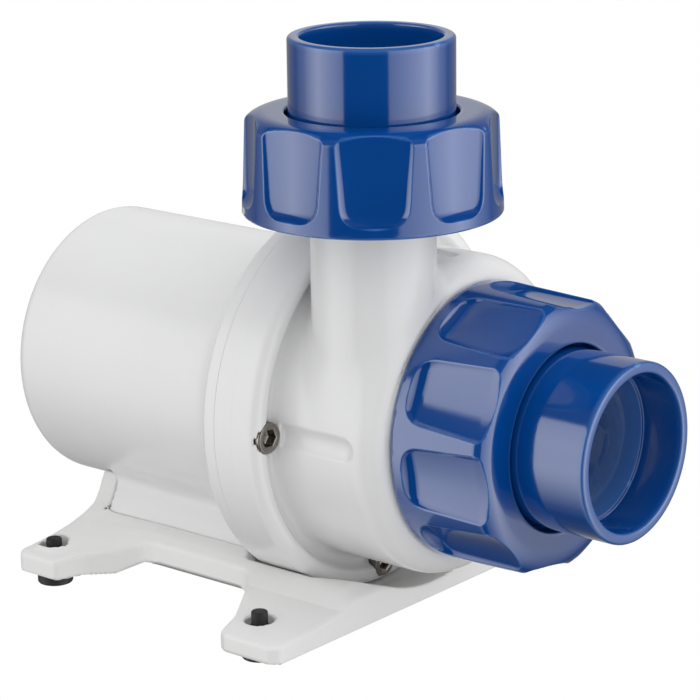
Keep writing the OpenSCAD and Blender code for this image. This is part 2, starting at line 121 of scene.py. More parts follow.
def rounded(corners, steps=6):
    """A closed outline from corners (u, v, radius), its arcs smaller where an edge is short."""
    points = []
    for k, (*corner, radius) in enumerate(corners):
        p, a, b = (np.array(q[:2], float) for q in
                   (corner, corners[k - 1], corners[(k + 1) % len(corners)]))
        reach_a, reach_b = np.linalg.norm(a - p), np.linalg.norm(b - p)
        to_a, to_b = (a - p) / reach_a, (b - p) / reach_b
        half = math.acos(float(np.clip(to_a @ to_b, -1, 1))) / 2
        if half > math.radians(88):
            points.append(tuple(p))
            continue
        back = min(radius / math.tan(half), 0.48 * reach_a, 0.48 * reach_b)
        for t in np.linspace(0, 1, steps):
            points.append(tuple(p + back * ((1 - t) ** 2 * to_a + t ** 2 * to_b)))
    return points


def slope(field, p, step):
    """Gradient of a field at points p."""
    change = [field(*(p + d).T) - field(*(p - d).T) for d in np.eye(3) * step]
    return np.stack(change, 1) / (2 * step)


def settle(field, p, cell, rounds):
    """Moves points onto the field's zero surface."""
    for _ in range(rounds):
        g = slope(field, p, 0.05)
        step = field(*p.T)[:, None] * g / np.maximum((g * g).sum(1), 0.05)[:, None]
        p = p - np.clip(step, -cell, cell)
    return p


def skin(field, lo, hi, cell):
    """Quads over the zero surface of a field, one vertex in each grid cell that it passes."""
    axes = [np.arange(a - 2.3 * cell, b + 3 * cell, cell) for a, b in zip(lo, hi)]
    inside = field(*np.meshgrid(*axes, indexing="ij")) < 0
    corner_count = sum(inside[i:i - 1 or None, j:j - 1 or None, k:k - 1 or None].astype(np.int8)
                       for i in (0, 1) for j in (0, 1) for k in (0, 1))
    passed = (corner_count > 0) & (corner_count < 8)
    number = np.full(passed.shape, -1)
    number[passed] = np.arange(passed.sum())
    points = np.array([a[0] for a in axes]) + (np.argwhere(passed) + 0.5) * cell
    quads = []
    for axis in range(3):
        u, v = (axis + 1) % 3, (axis + 2) % 3
        along = np.moveaxis(inside, axis, 0)
        for outward in (True, False):
            at = np.moveaxis((along[:-1] == outward) & (along[1:] != outward), 0, axis)
            at = np.argwhere(at)
            ring = []
            for du, dv in ((1, 1), (0, 1), (0, 0), (1, 0)):
                c = at.copy()
                c[:, u] -= du
                c[:, v] -= dv
                ring.append(number[tuple(c.T)])
            quads.append(np.stack(ring if outward else ring[::-1], 1))
    quads = np.concatenate(quads)
    points = settle(field, points, cell, 4)
    for _ in range(4):
        middle = points[quads].mean(1)
        total, count = np.zeros_like(points), np.zeros(len(points))
        for c in range(4):
            np.add.at(total, quads[:, c], middle)
            np.add.at(count, quads[:, c], 1)
        points = settle(field, points * 0.4 + 0.6 * total / count[:, None], cell / 2, 2)
    return points, quads


# ---------------------------------------------------------------- meshes


def new_piece(name, points, faces, body, slot_name, replaced, normals=None):
    """A smooth-shaded mesh object from points in metres, riding on a body."""
    mesh = bpy.data.meshes.new(name)
    mesh.from_pydata(np.asarray(points).tolist(), [], [list(map(int, f)) for f in faces])
    mesh.validate()
    mesh.shade_smooth()
    if normals is not None:
        mesh.normals_split_custom_set_from_vertices(np.asarray(normals).tolist())
    piece = bpy.data.objects.new(name, mesh)
    bpy.context.scene.collection.objects.link(piece)
    piece.data.materials.append(finish[slot_name])
    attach(piece, body)
    if replaced:
        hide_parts(*replaced)
    return piece


def moulding(name, field, lo, hi, cell, slot_name, replaced):
    """A moulded piece of the pump from a field."""
    points, quads = skin(field, lo, hi, cell)
    normals = slope(field, points, 0.25)
    normals /= np.maximum(np.linalg.norm(normals, axis=1), 1e-9)[:, None]
    return new_piece(name, points * MM + CENTRE, quads, "pump", slot_name, replaced, normals)


def turned_rings(rows, place, closed=True):
    """Points and quads through rings of points, each ring an array (n, 3) in the piece's own
    frame. place turns that frame into the shared one."""
    n = len(rows[0])
    local_points = np.concatenate(rows)
    points = [place @ Vector(p) for p in local_points]
    around = np.arange(n)
    after = (around + 1) % n
    quads = []
    pairs = list(zip(range(len(rows)), list(range(1, len(rows))) + ([0] if closed else [])))
    for a, b in pairs:
        quads.extend(np.stack([a * n + around, a * n + after, b * n + after, b * n + around], 1))
    return points, quads


def ring(r, z, angle):
    """One ring: radius and height for each angle, in metres."""
    r, z = np.broadcast_to(r, angle.shape), np.broadcast_to(z, angle.shape)
    return np.stack([r * np.cos(angle), r * np.sin(angle), z], 1) * MM


def along_z(x, y, z, turn=0):
    return Matrix.Translation((x, y, z)) @ Matrix.Rotation(turn, 4, "Z")


def along_x(x, y, z, turn=0):
    return (Matrix.Translation((x, y, z)) @ Matrix.Rotation(math.pi / 2, 4, "Y")
            @ Matrix.Rotation(turn, 4, "Z"))


def arc(r0, z0, radius, a0, a1, steps=5):
    """Points (r, z) on an arc round (r0, z0), angles in degrees from the outward direction."""
    return [(r0 + radius * math.cos(math.radians(a)), z0 + radius * math.sin(math.radians(a)))
            for a in np.linspace(a0, a1, steps)]


def lathe(name, profile, place, body, slot_name, replaced, steps=160):
    """A turned piece from a closed profile of (r, z) in millimetres."""
    angle = np.arange(steps) * 2 * math.pi / steps
    rows = [ring(r, z, angle) for r, z in profile]
    return new_piece(name, *turned_rings(rows, place), body, slot_name, replaced)


# ---------------------------------------------------------------- materials


EDGE_FROM, EDGE_TO = 0.505, 0.56    # pointiness of a flat surface's end and of an edge with the full painted highlight
COAT_ROUGH = 0.04


class Nodes:
    """Short way to build one material's nodes."""

    def __init__(self, name):
        self.material = bpy.data.materials.new(name)
        self.material.use_nodes = True
        self.tree = self.material.node_tree
        self.shader = self.tree.nodes["Principled BSDF"]
        self.place = self.add("ShaderNodeTexCoord").outputs["Object"]

    def add(self, kind, **settings):
        node = self.tree.nodes.new(kind)
        for key, value in settings.items():
            setattr(node, key, value)
        return node

    def link(self, a, b):
        self.tree.links.new(a, b)

    def noise(self, scale, detail=3, rough=0.5):
        noise = self.add("ShaderNodeTexNoise")
        noise.inputs["Scale"].default_value = scale
        noise.inputs["Detail"].default_value = detail
        noise.inputs["Roughness"].default_value = rough
        self.link(self.place, noise.inputs["Vector"])
        return noise.outputs["Fac"]

    def spread(self, value, low, high, start=0.3, end=0.7):
        """Maps a value between start and end to low and high."""
        node = self.add("ShaderNodeMapRange")
        for socket, number in zip(("From Min", "From Max", "To Min", "To Max"),
                                  (start, end, low, high)):
            node.inputs[socket].default_value = number
        self.link(value, node.inputs["Value"])
        return node.outputs["Result"]

    def blend(self, amount, first, second):
        node = self.add("ShaderNodeMix", data_type="RGBA")
        self.link(amount, node.inputs["Factor"])
        for socket, colour in ((node.inputs[6], first), (node.inputs[7], second)):
            if isinstance(colour, tuple):
                socket.default_value = (*colour, 1)
            else:
                self.link(colour, socket)
        return node.outputs[2]

    def bump(self, height, distance):
        node = self.add("ShaderNodeBump")
        node.inputs["Distance"].default_value = distance
        self.link(height, node.inputs["Height"])
        self.link(node.outputs["Normal"], self.shader.inputs["Normal"])

    def edges(self):
        """High on outer edges, where the painted highlight goes."""
        pointiness = self.add("ShaderNodeNewGeometry").outputs["Pointiness"]
        return self.spread(pointiness, 0, 1, EDGE_FROM, EDGE_TO)

    def set(self, **values):
        for key, value in values.items():
            self.shader.inputs[key.replace("_", " ")].default_value = value


def scaled(colour, k):
    return tuple(min(1, c * k) for c in colour)


def plastic(name, colour, rough, mottle=0.03, grain=0.00002, grain_scale=900, coat=0.0,
            edge_highlight=None, specular=0.5):
    """Moulded plastic: faint mottling, fine skin texture, uneven gloss and painted edge highlights.
    """
    m = Nodes(name)
    shade = m.blend(m.spread(m.noise(28, 4), 0, 1), scaled(colour, 1 - mottle),
                    scaled(colour, 1 + mottle))
    # painted highlight: outer edges get a lighter colour, standing in for the light that edges
    # catch
    if edge_highlight:
        shade = m.blend(m.edges(), shade, edge_highlight)
    m.link(shade, m.shader.inputs["Base Color"])
    m.link(m.spread(m.noise(60, 5, 0.6), rough * 0.85, rough * 1.2), m.shader.inputs["Roughness"])
    m.bump(m.noise(grain_scale, 2), grain)
    m.set(Coat_Weight=coat, Coat_Roughness=COAT_ROUGH, Specular_IOR_Level=specular)
    return m.material


def metal(name, colour, rough):
    """Metal with fine tool marks and slightly tarnished patches."""
    marks = 900
    m = Nodes(name)
    m.link(m.blend(m.spread(m.noise(180, 4), 0, 1), scaled(colour, 0.72), colour),
           m.shader.inputs["Base Color"])
    m.link(m.spread(m.noise(marks, 3, 0.6), rough * 0.7, rough * 1.5),
           m.shader.inputs["Roughness"])
    m.bump(m.noise(marks, 2), 0.00001)
    m.set(Metallic=1.0)
    return m.material


def rubber(name, colour):
    """Black rubber with a dusty bloom and a matt grain."""
    m = Nodes(name)
    m.link(m.blend(m.spread(m.noise(90, 5, 0.6), 0, 1), colour, scaled(colour, 1.7)),
           m.shader.inputs["Base Color"])
    m.link(m.spread(m.noise(300, 3), 0.5, 0.75), m.shader.inputs["Roughness"])
    m.bump(m.noise(2500, 2), 0.00003)
    return m.material


def laminated(name, colour, pitch):
    """Stacked sheets: fine lines across the pump's axis."""
    m = Nodes(name)
    wave = m.add("ShaderNodeTexWave", bands_direction="X")
    wave.inputs["Scale"].default_value = 1 / pitch
    m.link(m.place, wave.inputs["Vector"])
    m.link(m.blend(wave.outputs["Fac"], scaled(colour, 0.5), colour), m.shader.inputs["Base Color"])
    m.link(m.spread(m.noise(400), 0.3, 0.5), m.shader.inputs["Roughness"])
    m.bump(wave.outputs["Fac"], 0.00005)
    m.set(Metallic=1.0)
    return m.material


finish = {
    "white_plastic": plastic("white_plastic", (0.81, 0.81, 0.81), 0.22, 0.012, 0.00001, 500),
    "base_plastic": plastic("base_plastic", (0.83, 0.825, 0.82), 0.4, 0.012, 0.00003, 1100),
    # the blue's last colour is a painted highlight on its outer edges
    "blue_plastic": plastic("blue_plastic", (0.0006, 0.057, 0.275), 0.12, 0.05, 0.000012, 420,
                            coat=1.0, edge_highlight=(0.08, 0.20, 0.50), specular=0.6),
    "black_rubber": rubber("black_rubber", (0.012, 0.012, 0.013)),
    "stainless": metal("stainless", (0.32, 0.30, 0.27), 0.25),
    "brass": metal("brass", (0.72, 0.52, 0.22), 0.3),
    "dark_plastic": plastic("dark_plastic", (0.035, 0.038, 0.045), 0.4, 0.15),
    "ceramic": plastic("ceramic", (0.78, 0.76, 0.70), 0.15, 0.03, coat=0.5),
    "carbon": plastic("carbon", (0.05, 0.05, 0.055), 0.45, 0.25),
    "light_plastic": plastic("light_plastic", (0.70, 0.69, 0.66), 0.35, 0.03),
    "magnet": plastic("magnet", (0.06, 0.062, 0.068), 0.5, 0.2),
    "lamination": laminated("lamination", (0.42, 0.43, 0.45), 0.0032),
    "copper": laminated("copper", (0.62, 0.26, 0.10), 0.0048),
    "board": plastic("board", (0.01, 0.14, 0.05), 0.35, 0.2),
    "resin": plastic("resin", (0.03, 0.03, 0.032), 0.3, 0.3),
    "black_plastic": plastic("black_plastic", (0.02, 0.02, 0.022), 0.38, 0.15),
}

slot_of = {s["node"]: s["material_slot"] for s in frame["record"]["subparts"]}
for node, thing in frame["nodes"].items():
    thing.data.materials.clear()
    thing.data.materials.append(finish[slot_of[node]])

# ---------------------------------------------------------------- white casing and motor

FLANGE_FRONT = -20
FLANGE_GAP = 0.4        # the motor's shell stops this far behind the seam
DRUM_FRONT, DRUM_R = 17, 50.5
VALLEY_R, VALLEY_DEPTH = 52.4, 3.3      # hollow in the flange's face, round the drum
RISER_R, RISER_BORE, RISER_FOOT = 19, 15, -5
BOLT_RADIUS = 55
HEAD_R, HEAD_H = 5, 6
CHANNEL_R, CHANNEL_END = 6, 5
NUT_ROOM_R, NUT_ROOM_X, NUT_ROOM_BORE = 44.1, 17.2, 36.1
NECK_R, HEAD_L, INLET_STEM_R = 32.4, 14, 26
BARREL_R, BARREL_BORE = 45, 41.5
GLAND_Z, GLAND_HOLE_R = -18, 8
BOLT_TURNS = [(0, 1), (-1, 0), (0, -1), (1, 0)]
# Rooms inside the casing: start and end along the axis, and radius
CHAMBERS = [(-60, -17, 37.2), (-60, 7, 33), (-60, SEAM + 3.1, 47.1)]
WAY_R = 17              # the water's way in


def neck(axial, rad, seal, k, throat):
    """A union's neck below its sealing face: a plain throat, a cone and a threaded head."""
    head = both(both(rad - NECK_R * k + 0.6, axial - seal, 0.6), seal - HEAD_L * k - axial, 0.6)
    stem = both(rad - throat, axial - seal + 1, 0.3)
    return either(stem, head, 4 * k)


def casing_field(x, y, z):
    rad = np.hypot(y, z)
    flange = bar(x, rad, SEAM + 1, FLANGE_FRONT, FLANGE_R, 2, 3.5)
    drum = bar(x, rad, SEAM + 1, DRUM_FRONT, DRUM_R, 0.4, 9)
    valley = np.hypot(rad - VALLEY_R, x - FLANGE_FRONT) - VALLEY_DEPTH
    back = cut(flange, valley, 1.5)
    off = np.hypot(x, y - OUTLET_Y)
    riser = both(neck(z, off, OUTLET_SEAL, 1, RISER_R), RISER_FOOT - z, 14)
    inlet = both(neck(x, rad, INLET_SEAL, INLET_SCALE, INLET_STEM_R), -x, 0.5)
    body = either(either(back, either(drum, riser, 4), 1.5), inlet, 0.8)
    for cy, cz in BOLT_TURNS:
        from_bolt = np.hypot(y - cy * BOLT_RADIUS, z - cz * BOLT_RADIUS)
        pocket = np.maximum(from_bolt - HEAD_R + 0.2, FLANGE_FRONT - HEAD_H - x)
        pocket = np.maximum(pocket, x - FLANGE_FRONT - 2)
        tip = np.hypot(from_bolt, np.maximum(x - CHANNEL_END, 0)) - CHANNEL_R
        body = cut(body, np.minimum(pocket, np.maximum(tip, FLANGE_FRONT + 0.4 - x)), 0.3)
    # room for the inlet's nut beside the riser, its wall leaning outwards
    wall = np.maximum((rad - NUT_ROOM_R - x + NUT_ROOM_X) * 0.7, rad - NUT_ROOM_R - 3)
    nut_room = np.maximum(np.maximum(NUT_ROOM_X - x, wall), NUT_ROOM_BORE - rad)
    body = cut(body, np.maximum(nut_room, x - INLET_SEAL + 1), 1.0)
    # water ways and the seat of the rotor can
    rooms = [bar(x, rad, start, end, r) for start, end, r in CHAMBERS]
    rooms += [bar(x, rad, 6, 90, WAY_R), np.maximum(off - RISER_BORE, -z)]
    return cut(body, np.minimum.reduce(rooms), 0.5)


# Half of the pedestal's section, sideways and up from the floor
BLOCK = [(-5, 8.7), (32, 8.7), (32, 20), (26, 31), (26, 38), (-5, 38)]
BLOCK_REAR, BLOCK_FRONT = -112, -50


def pedestal_field(x, y, z):
    """The block under the barrel that the base holds."""
    side = outline(np.abs(y), z - FLOOR, BLOCK)
    return both(side, np.maximum(BLOCK_REAR - x, x - BLOCK_FRONT), 0.5)


def motor_field(x, y, z):
    rad = np.hypot(y, z)
    barrel = bar(x, rad, REAR, SEAM, BARREL_R, 4.5, 0.3)
    disc = bar(x, rad, -44, SEAM - 0.5, FLANGE_R - 0.2, 4, 1.5)
    shell = either(either(barrel, disc, 16), pedestal_field(x, y, z), 5)
    hollow = bar(x, rad, REAR + 4, SEAM + 9, BARREL_BORE, 2)
    gland = np.maximum(np.hypot(y, z - GLAND_Z) - GLAND_HOLE_R, x - REAR - 6)
    shell = cut(shell, np.minimum(hollow, gland), 0.35)
    return np.maximum(shell, x - SEAM + FLANGE_GAP)


moulding("motor_shell", motor_field, MOTOR_LO, MOTOR_HI, 1.25, "white_plastic",
         ["motor_housing"])
moulding("volute_shell", casing_field, CASING_LO, CASING_HI, 1.0, "white_plastic",
         ["volute_casing"])

RIM_DEPTH, RIM_EDGE, RIM_COVER = 5, 0.12, 0.006
TIGHT = 0.05            # distance of the lines that keep an edge crisp


def rim(name, x_seam, x_end, r):
    """The outer band of a flange, with the sharp edge that the seam shows."""
    toward = math.copysign(1, x_end - x_seam)
    r = r + RIM_COVER
    edge, tight = RIM_EDGE * toward, TIGHT * toward
    profile = [(r - RIM_DEPTH, x_seam), (r - RIM_EDGE - TIGHT, x_seam), (r - RIM_EDGE, x_seam),
               (r, x_seam + edge), (r, x_seam + edge + tight), (r, x_end - tight), (r, x_end),
               (r - TIGHT, x_end), (r - RIM_DEPTH, x_end)]
    if toward < 0:
        profile.reverse()
    return lathe(name, profile, along_x(OUT_X, 0, AXIS_Z), "pump", "white_plastic", [], 420)


rim("casing_rim", SEAM + 0.1, SEAM + 7, FLANGE_R)
rim("motor_rim", SEAM - 0.05, SEAM - 4, FLANGE_R - 0.2)

# ---------------------------------------------------------------- base

FEET = [(-19, 62.5), (-116.5, 53.3)]
# Heights over the floor, sideways from the axis: the front arm's top, then the rear arm's
FRONT_TOP = ([32, 38, 46, 58, 74, 90], [21, 19, 14, 12.5, 11.5, 10.5])
REAR_TOP = ([32, 36, 42, 50, 58, 74], [20.5, 17.8, 15.5, 13.6, 12.5, 11.5])
LONG_TOP = ([-124, -118, -106, -30, -6, 0], [11.5, 21, 21, 21, 18.5, 16])
# Radius of the hollow for the barrel, the flange and the drum
SADDLE = ([-125, -60, -46, -19.3, 0.1], [45.3, 45.3, 62, 62, 57])
UNDERSIDE, ARCH_H, LIP_H = 5.5, 4.5, 1.9
BLOCK_ROOM = 0.2        # room round the pedestal
POCKET = [(-5, 8.5), (32.2, 8.5), (32.2, 20), (26.2, 31), (26.2, 45), (-5, 45)]
STEM_ROOM_R, STEM_R, PAD_T = 4.6, 2.7, 8.5
# Half of the plan from the front to the rear: x, y and the corner's radius
HALF_PLAN = [(0, 75, 1.5), (-3, 77, 2), (-21, 77, 2), (-24, 75, 2), (-28, 64, 9), (-42, 41, 7),
             (-88, 41, 16), (-102, 55, 10), (-105, 64.5, 3), (-121, 64.5, 3), (-124, 61, 2)]
PLAN = rounded(HALF_PLAN + [(x, -y, r) for x, y, r in HALF_PLAN[::-1]])
# Section across the rear arm, which sweeps up to the barrel
SWEEP = [(-5, 6), (58, 6), (58, 12.5), (50, 13.6), (42, 15.5), (36, 17.8), (32, 20.5), (29, 25),
         (26, 31.5), (24, 38), (-5, 38)]


def base_field(x, y, z):
    h = z - FLOOR
    side = np.abs(y)
    rad = np.hypot(y, z)
    plan = outline(x, y, PLAN)
    front, rear = np.interp(side, *FRONT_TOP), np.interp(side, *REAR_TOP)
    across = front + (rear - front) * np.clip((-88 - x) / 20, 0, 1)
    top = both((h - across) * 0.95, (h - np.interp(x, *LONG_TOP)) * 0.9, 2)
    arch = np.clip((x + 95) / 11, 0, 1) * np.clip((-41 - x) / 6, 0, 1) * (side > 33)
    lip = np.interp(x, [-30, -26, -13, -7], [0, 1, 1, 0]) * np.clip((33 - side) / 6, 0, 1)
    under = UNDERSIDE - LIP_H * lip + ARCH_H * np.sin(arch * math.pi / 2)
    body = both(both(plan, top, 1.2), under - h, 0.7)
    arm = both(outline(side, h, SWEEP), np.abs(x + 115.6) - 4, 1.5)
    body = cut(either(body, arm, 3), rad - np.interp(x, *SADDLE), 0.8)
    ends = np.maximum(BLOCK_REAR - BLOCK_ROOM - x, x + 31)
    body = cut(body, np.maximum(outline(side, h, POCKET), ends), 0.4)
    for fx, fy in FEET:
        off = np.hypot(x - fx, side - fy)
        body = cut(body, np.maximum(off - STEM_ROOM_R, PAD_T - h), 0.4)
        body = cut(body, off - STEM_R, 0.2)
    return body


moulding("base_moulding", base_field, BASE_LO, BASE_HI, 1.1, "base_plastic", ["base"])

# ---------------------------------------------------------------- unions

NUT_L = 30.5
NUT_R, NUT_TIP_R = 39.2, 38.4
NUT_HOLE_R, NUT_BORE = 26.1, 32.75
SHOULDER_T = 5
FLUTE_LOW, FLUTE_TOP = 9.6, 11.3        # half the width of a flute at its foot and at the shoulder
FLUTE_WALL = 1.8                        # radius of the curve between a flute's floor and its edge
FLUTE_HOLLOW = 0.9                      # how much deeper the middle of a floor is than its sides
FLUTE_START, FLUTE_START_R = 7.0, 3.7   # the floor runs out below this height, in an arc
FLUTE_CORNER = 6                        # radius of the outline's corners at the foot
SHOULDER_Z, SHOULDER_OUT, SHOULDER_DOWN = 26.5, 7, 4
OUTLET_PITCH, INLET_PITCH, THREAD_DEPTH = 4, 4.5, 1.1
OUTLET_NUT_TURN, INLET_NUT_TURN = math.radians(-50), math.radians(27.5)     # where flutes stand
OUTLET_FLUTES, INLET_FLUTES = (9, 2.2), (10, 2.0)       # how many, and how deep
OUTLET_WAY_R, INLET_WAY_R = 18, 20.5                    # the water's way through a tailpiece
FLUTE_EDGE = 0.3                        # roundness of a flute's edge


def thread(z, angle, pitch, depth):
    """Height of a screw thread with flat crests and roots, from 0 to depth."""
    phase = (z / pitch - angle / (2 * math.pi)) % 1
    return depth * np.clip(2.2 * np.abs(2 * phase - 1) - 0.6, 0, 1)


def soft_min(a, b, k):
    h = np.clip(0.5 + 0.5 * (b - a) / k, 0, 1)
    return b + (a - b) * h - k * h * (1 - h)


def union_nut(name, k, flutes, depth, pitch, place, node):
    """Fluted union nut, its open end at z = 0. Flutes are as wide on every size of nut."""
    sector = math.pi / flutes

    def angles(half, wall):
        """Angles round the nut and off each flute's middle, close together on a flute's walls."""
        marks = np.concatenate([np.linspace(0, half - wall, 6)[:-1],
                                np.linspace(half - wall, half, 9), [half + 0.006],
                                np.linspace(half + 0.012, sector, 5)])
        off = np.concatenate([-marks[::-1][:-1], marks])[:-1]
        return (np.arange(flutes)[:, None] * 2 * sector + off).ravel(), np.tile(off, flutes)

    def side_row(z, body_r):
        t = min(z / SHOULDER_Z, 1)
        side_r = NUT_R + (NUT_TIP_R - NUT_R) * t
        lost = FLUTE_CORNER - min(max(z - FLUTE_START + FLUTE_START_R, 0), FLUTE_CORNER)
        lost = FLUTE_CORNER - math.sqrt(FLUTE_CORNER ** 2 - lost ** 2)
        half = math.asin((FLUTE_LOW + (FLUTE_TOP - FLUTE_LOW) * t - 0.8 * lost) / (side_r * k))
        left = side_r - (side_r - depth) / math.cos(half)
        reach = math.sqrt(FLUTE_WALL ** 2 - (FLUTE_WALL - left) ** 2)
        angle, off = angles(half, reach / side_r)
        past = np.clip(side_r * (np.abs(off) - half) + reach, 0, FLUTE_WALL)
        hollow = FLUTE_HOLLOW * np.clip(1 - (off / half) ** 2, 0, 1)
        floor_r = (side_r - depth) / np.cos(off) - hollow
        floor_r = floor_r + FLUTE_WALL - np.sqrt(FLUTE_WALL ** 2 - past ** 2)
        rise = min(max(FLUTE_START - z, 0), FLUTE_START_R)
        floor_r = floor_r + FLUTE_START_R - math.sqrt(FLUTE_START_R ** 2 - rise ** 2)
        floor_r = np.where((past < FLUTE_WALL) & (rise < FLUTE_START_R), floor_r, side_r + 9)
        return ring(soft_min(body_r, floor_r, FLUTE_EDGE) * k, z * k, angle)

    plain, _ = angles((FLUTE_LOW + FLUTE_TOP) / 2 / NUT_R / k, FLUTE_WALL / NUT_R)
    rows = [ring(r * k, z * k, plain) for r, z in arc(NUT_R - 0.8, 0.8, 0.8, -90, -10, 4)]
    for z in np.concatenate([np.linspace(1, 2.8, 4), np.linspace(3.1, 7.2, 18),
                             np.linspace(8, SHOULDER_Z - 0.5, 14)]):
        rows.append(side_row(z, NUT_R + (NUT_TIP_R - NUT_R) * z / SHOULDER_Z))
    for a in np.radians(np.linspace(0, 88, 26)):
        rows.append(side_row(SHOULDER_Z + SHOULDER_DOWN * math.sin(a),
                             NUT_TIP_R - SHOULDER_OUT * (1 - math.cos(a))))
    inner = [(30, NUT_L), (27.4, NUT_L)] + arc(NUT_HOLE_R + 0.6, NUT_L - 0.6, 0.6, 90, 180, 4)
    inner += [(NUT_HOLE_R, NUT_L - SHOULDER_T + 0.4), (NUT_HOLE_R + 0.4, NUT_L - SHOULDER_T)]
    inner += [(32, NUT_L - SHOULDER_T), (32.7, NUT_L - SHOULDER_T - 0.4)]
    rows += [ring(r * k, z * k, plain) for r, z in inner]
    for z in np.linspace(NUT_L - SHOULDER_T - 2, 2, 72):
        fade = min(1, (NUT_L - SHOULDER_T - 2 - z) / 2, (z - 2) / 2 + 0.05)
        height = thread(z * k, plain, pitch, THREAD_DEPTH) * fade
        rows.append(ring((NUT_BORE + height) * k, z * k, plain))
    rows += [ring(33.2 * k, 0.5 * k, plain), ring(34 * k, 0, plain)]
    points, quads = turned_rings(rows, place)
    return new_piece(name, points, quads, node, "blue_plastic", [node])


LEDGE = 1.4             # width of the step that stops the pipe
SOCKET_L = 14


def tailpiece(name, k, socket_r, way_r, length, place, node):
    """Tailpiece from its sealing face at z = 0 to its rim, with a pipe socket in its end."""
    out_r, collar_r, collar = 25 * k, 31.3 * k, 5 * k
    socket, ledge_r = length - SOCKET_L, socket_r - LEDGE
    profile = [(way_r, 0.4), (way_r + 0.4, 0), (collar_r - 0.5, 0)]
    profile += arc(collar_r - 0.5, 0.5, 0.5, -80, 0, 3)
    profile += arc(collar_r - 0.5, collar - 0.5, 0.5, 0, 90, 3)
    profile += arc(out_r + 0.8, collar + 0.8, 0.8, -90, -180, 3)
    profile += [(out_r, collar + 2), (out_r, length * 0.6), (out_r, length - 2)]
    profile += arc(out_r - 1.1, length - 1.1, 1.1, 0, 90, 6)
    profile += arc(socket_r + 0.8, length - 0.8, 0.8, 90, 180, 5)
    profile += [(socket_r, length - 3), (socket_r, socket + 3)]
    profile += arc(socket_r - 0.4, socket + 0.4, 0.4, 0, -90, 4)
    profile += [(ledge_r + 0.5, socket)] + arc(ledge_r + 0.2, socket - 0.2, 0.2, 90, 180, 3)
    return lathe(name, profile, place, node, "blue_plastic", [node], 200)


def neck_thread(name, k, pitch, place):
    """The threaded sleeve of a neck, its sealing face at z = 0."""
    angle = np.arange(200) * 2 * math.pi / 200
    rows = [ring(29.5 * k, -0.4, angle), ring((NECK_R - 1.6) * k, -0.4, angle)]
    for z in np.linspace(-0.6, -(HEAD_L - 0.4) * k, 70):
        fade = min(1, (-0.6 - z) / 2, (z + (HEAD_L - 0.4) * k) / 2)
        height = thread(z, angle, pitch, THREAD_DEPTH * k) * fade
        rows.append(ring((NECK_R - 1.4) * k + height + 0.25, z, angle))
    rows.append(ring(29.5 * k, -HEAD_L * k + 0.4, angle))
    return new_piece(name, *turned_rings(rows, place), "pump", "white_plastic", [])


def box_start(node, axis):
    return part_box(node)[0][axis]


outlet_nut_place = along_z(OUT_X, OUT_Y, box_start("outlet_nut", 2), OUTLET_NUT_TURN)
inlet_nut_place = along_x(box_start("inlet_nut", 0), 0, AXIS_Z, INLET_NUT_TURN)
outlet_tail_z, inlet_tail_x = box_start("outlet_tailpiece", 2), box_start("inlet_tailpiece", 0)
union_nut("outlet_nut_fluted", 1, *OUTLET_FLUTES, OUTLET_PITCH, outlet_nut_place, "outlet_nut")
union_nut("inlet_nut_fluted", INLET_SCALE, *INLET_FLUTES, INLET_PITCH, inlet_nut_place,
          "inlet_nut")
tailpiece("outlet_tail", 1, mount["outlet_socket"]["dims"]["r_mm"], OUTLET_WAY_R,
          (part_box("outlet_tailpiece")[1][2] - outlet_tail_z) / MM,
          along_z(OUT_X, OUT_Y, outlet_tail_z), "outlet_tailpiece")
tailpiece("inlet_tail", INLET_SCALE, mount["inlet_socket"]["dims"]["r_mm"], INLET_WAY_R,
          (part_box("inlet_tailpiece")[1][0] - inlet_tail_x) / MM,
          along_x(inlet_tail_x, 0, AXIS_Z), "inlet_tailpiece")
neck_thread("outlet_neck_thread", 1, OUTLET_PITCH,
            along_z(OUT_X, OUT_Y, AXIS_Z + OUTLET_SEAL * MM))
neck_thread("inlet_neck_thread", INLET_SCALE, INLET_PITCH,
            along_x(OUT_X + INLET_SEAL * MM, 0, AXIS_Z))

# ---------------------------------------------------------------- screws, feet and gland


def hexagon(across_flats, angle):
    """Radius of a hexagon in each direction."""
    off = (angle + math.pi / 6) % (math.pi / 3) - math.pi / 6
    return across_flats / 2 / np.cos(off)


def cap_screw(name, place):
    """M6 socket-head screw, the top of its head at z = 0, with a knurled side."""
    angle = np.arange(144) * 2 * math.pi / 144
    knurl = np.where(np.arange(144) % 2, 0.0, 0.12)
    socket = hexagon(5, angle)
    rows = [ring(0.05, -3.4, angle), ring(1.5, -3.1, angle), ring(socket * 0.97, -3, angle),
            ring(socket, -2.9, angle), ring(socket, -0.45, angle), ring(socket + 0.04, -0.3, angle),
            ring(3.25, 0, angle), ring(4.2, 0, angle)]
    rows += [ring(r, z, angle) for r, z in arc(4.3, -0.6, 0.6, 90, 20, 4)]
    rows += [ring(4.98 - knurl, z, angle) for z in (-0.9, -1.1, -5.2, -5.4)]
    rows += [ring(4.6, -5.95, angle), ring(3, -5.95, angle), ring(2.95, -HEAD_H - 15, angle),
             ring(2.2, -HEAD_H - 16, angle), ring(0.05, -HEAD_H - 16, angle)]
    return new_piece(name, *turned_rings(rows, place, closed=False), "pump", "stainless",
                     ["casing_screws"])


for i, (cy, cz) in enumerate(BOLT_TURNS):
    cap_screw(f"casing_screw_{i + 1}", along_x(
        OUT_X + (FLANGE_FRONT + 0.05) * MM, cy * BOLT_RADIUS * MM, AXIS_Z + cz * BOLT_RADIUS * MM,
        math.radians(12 + 41 * i)))


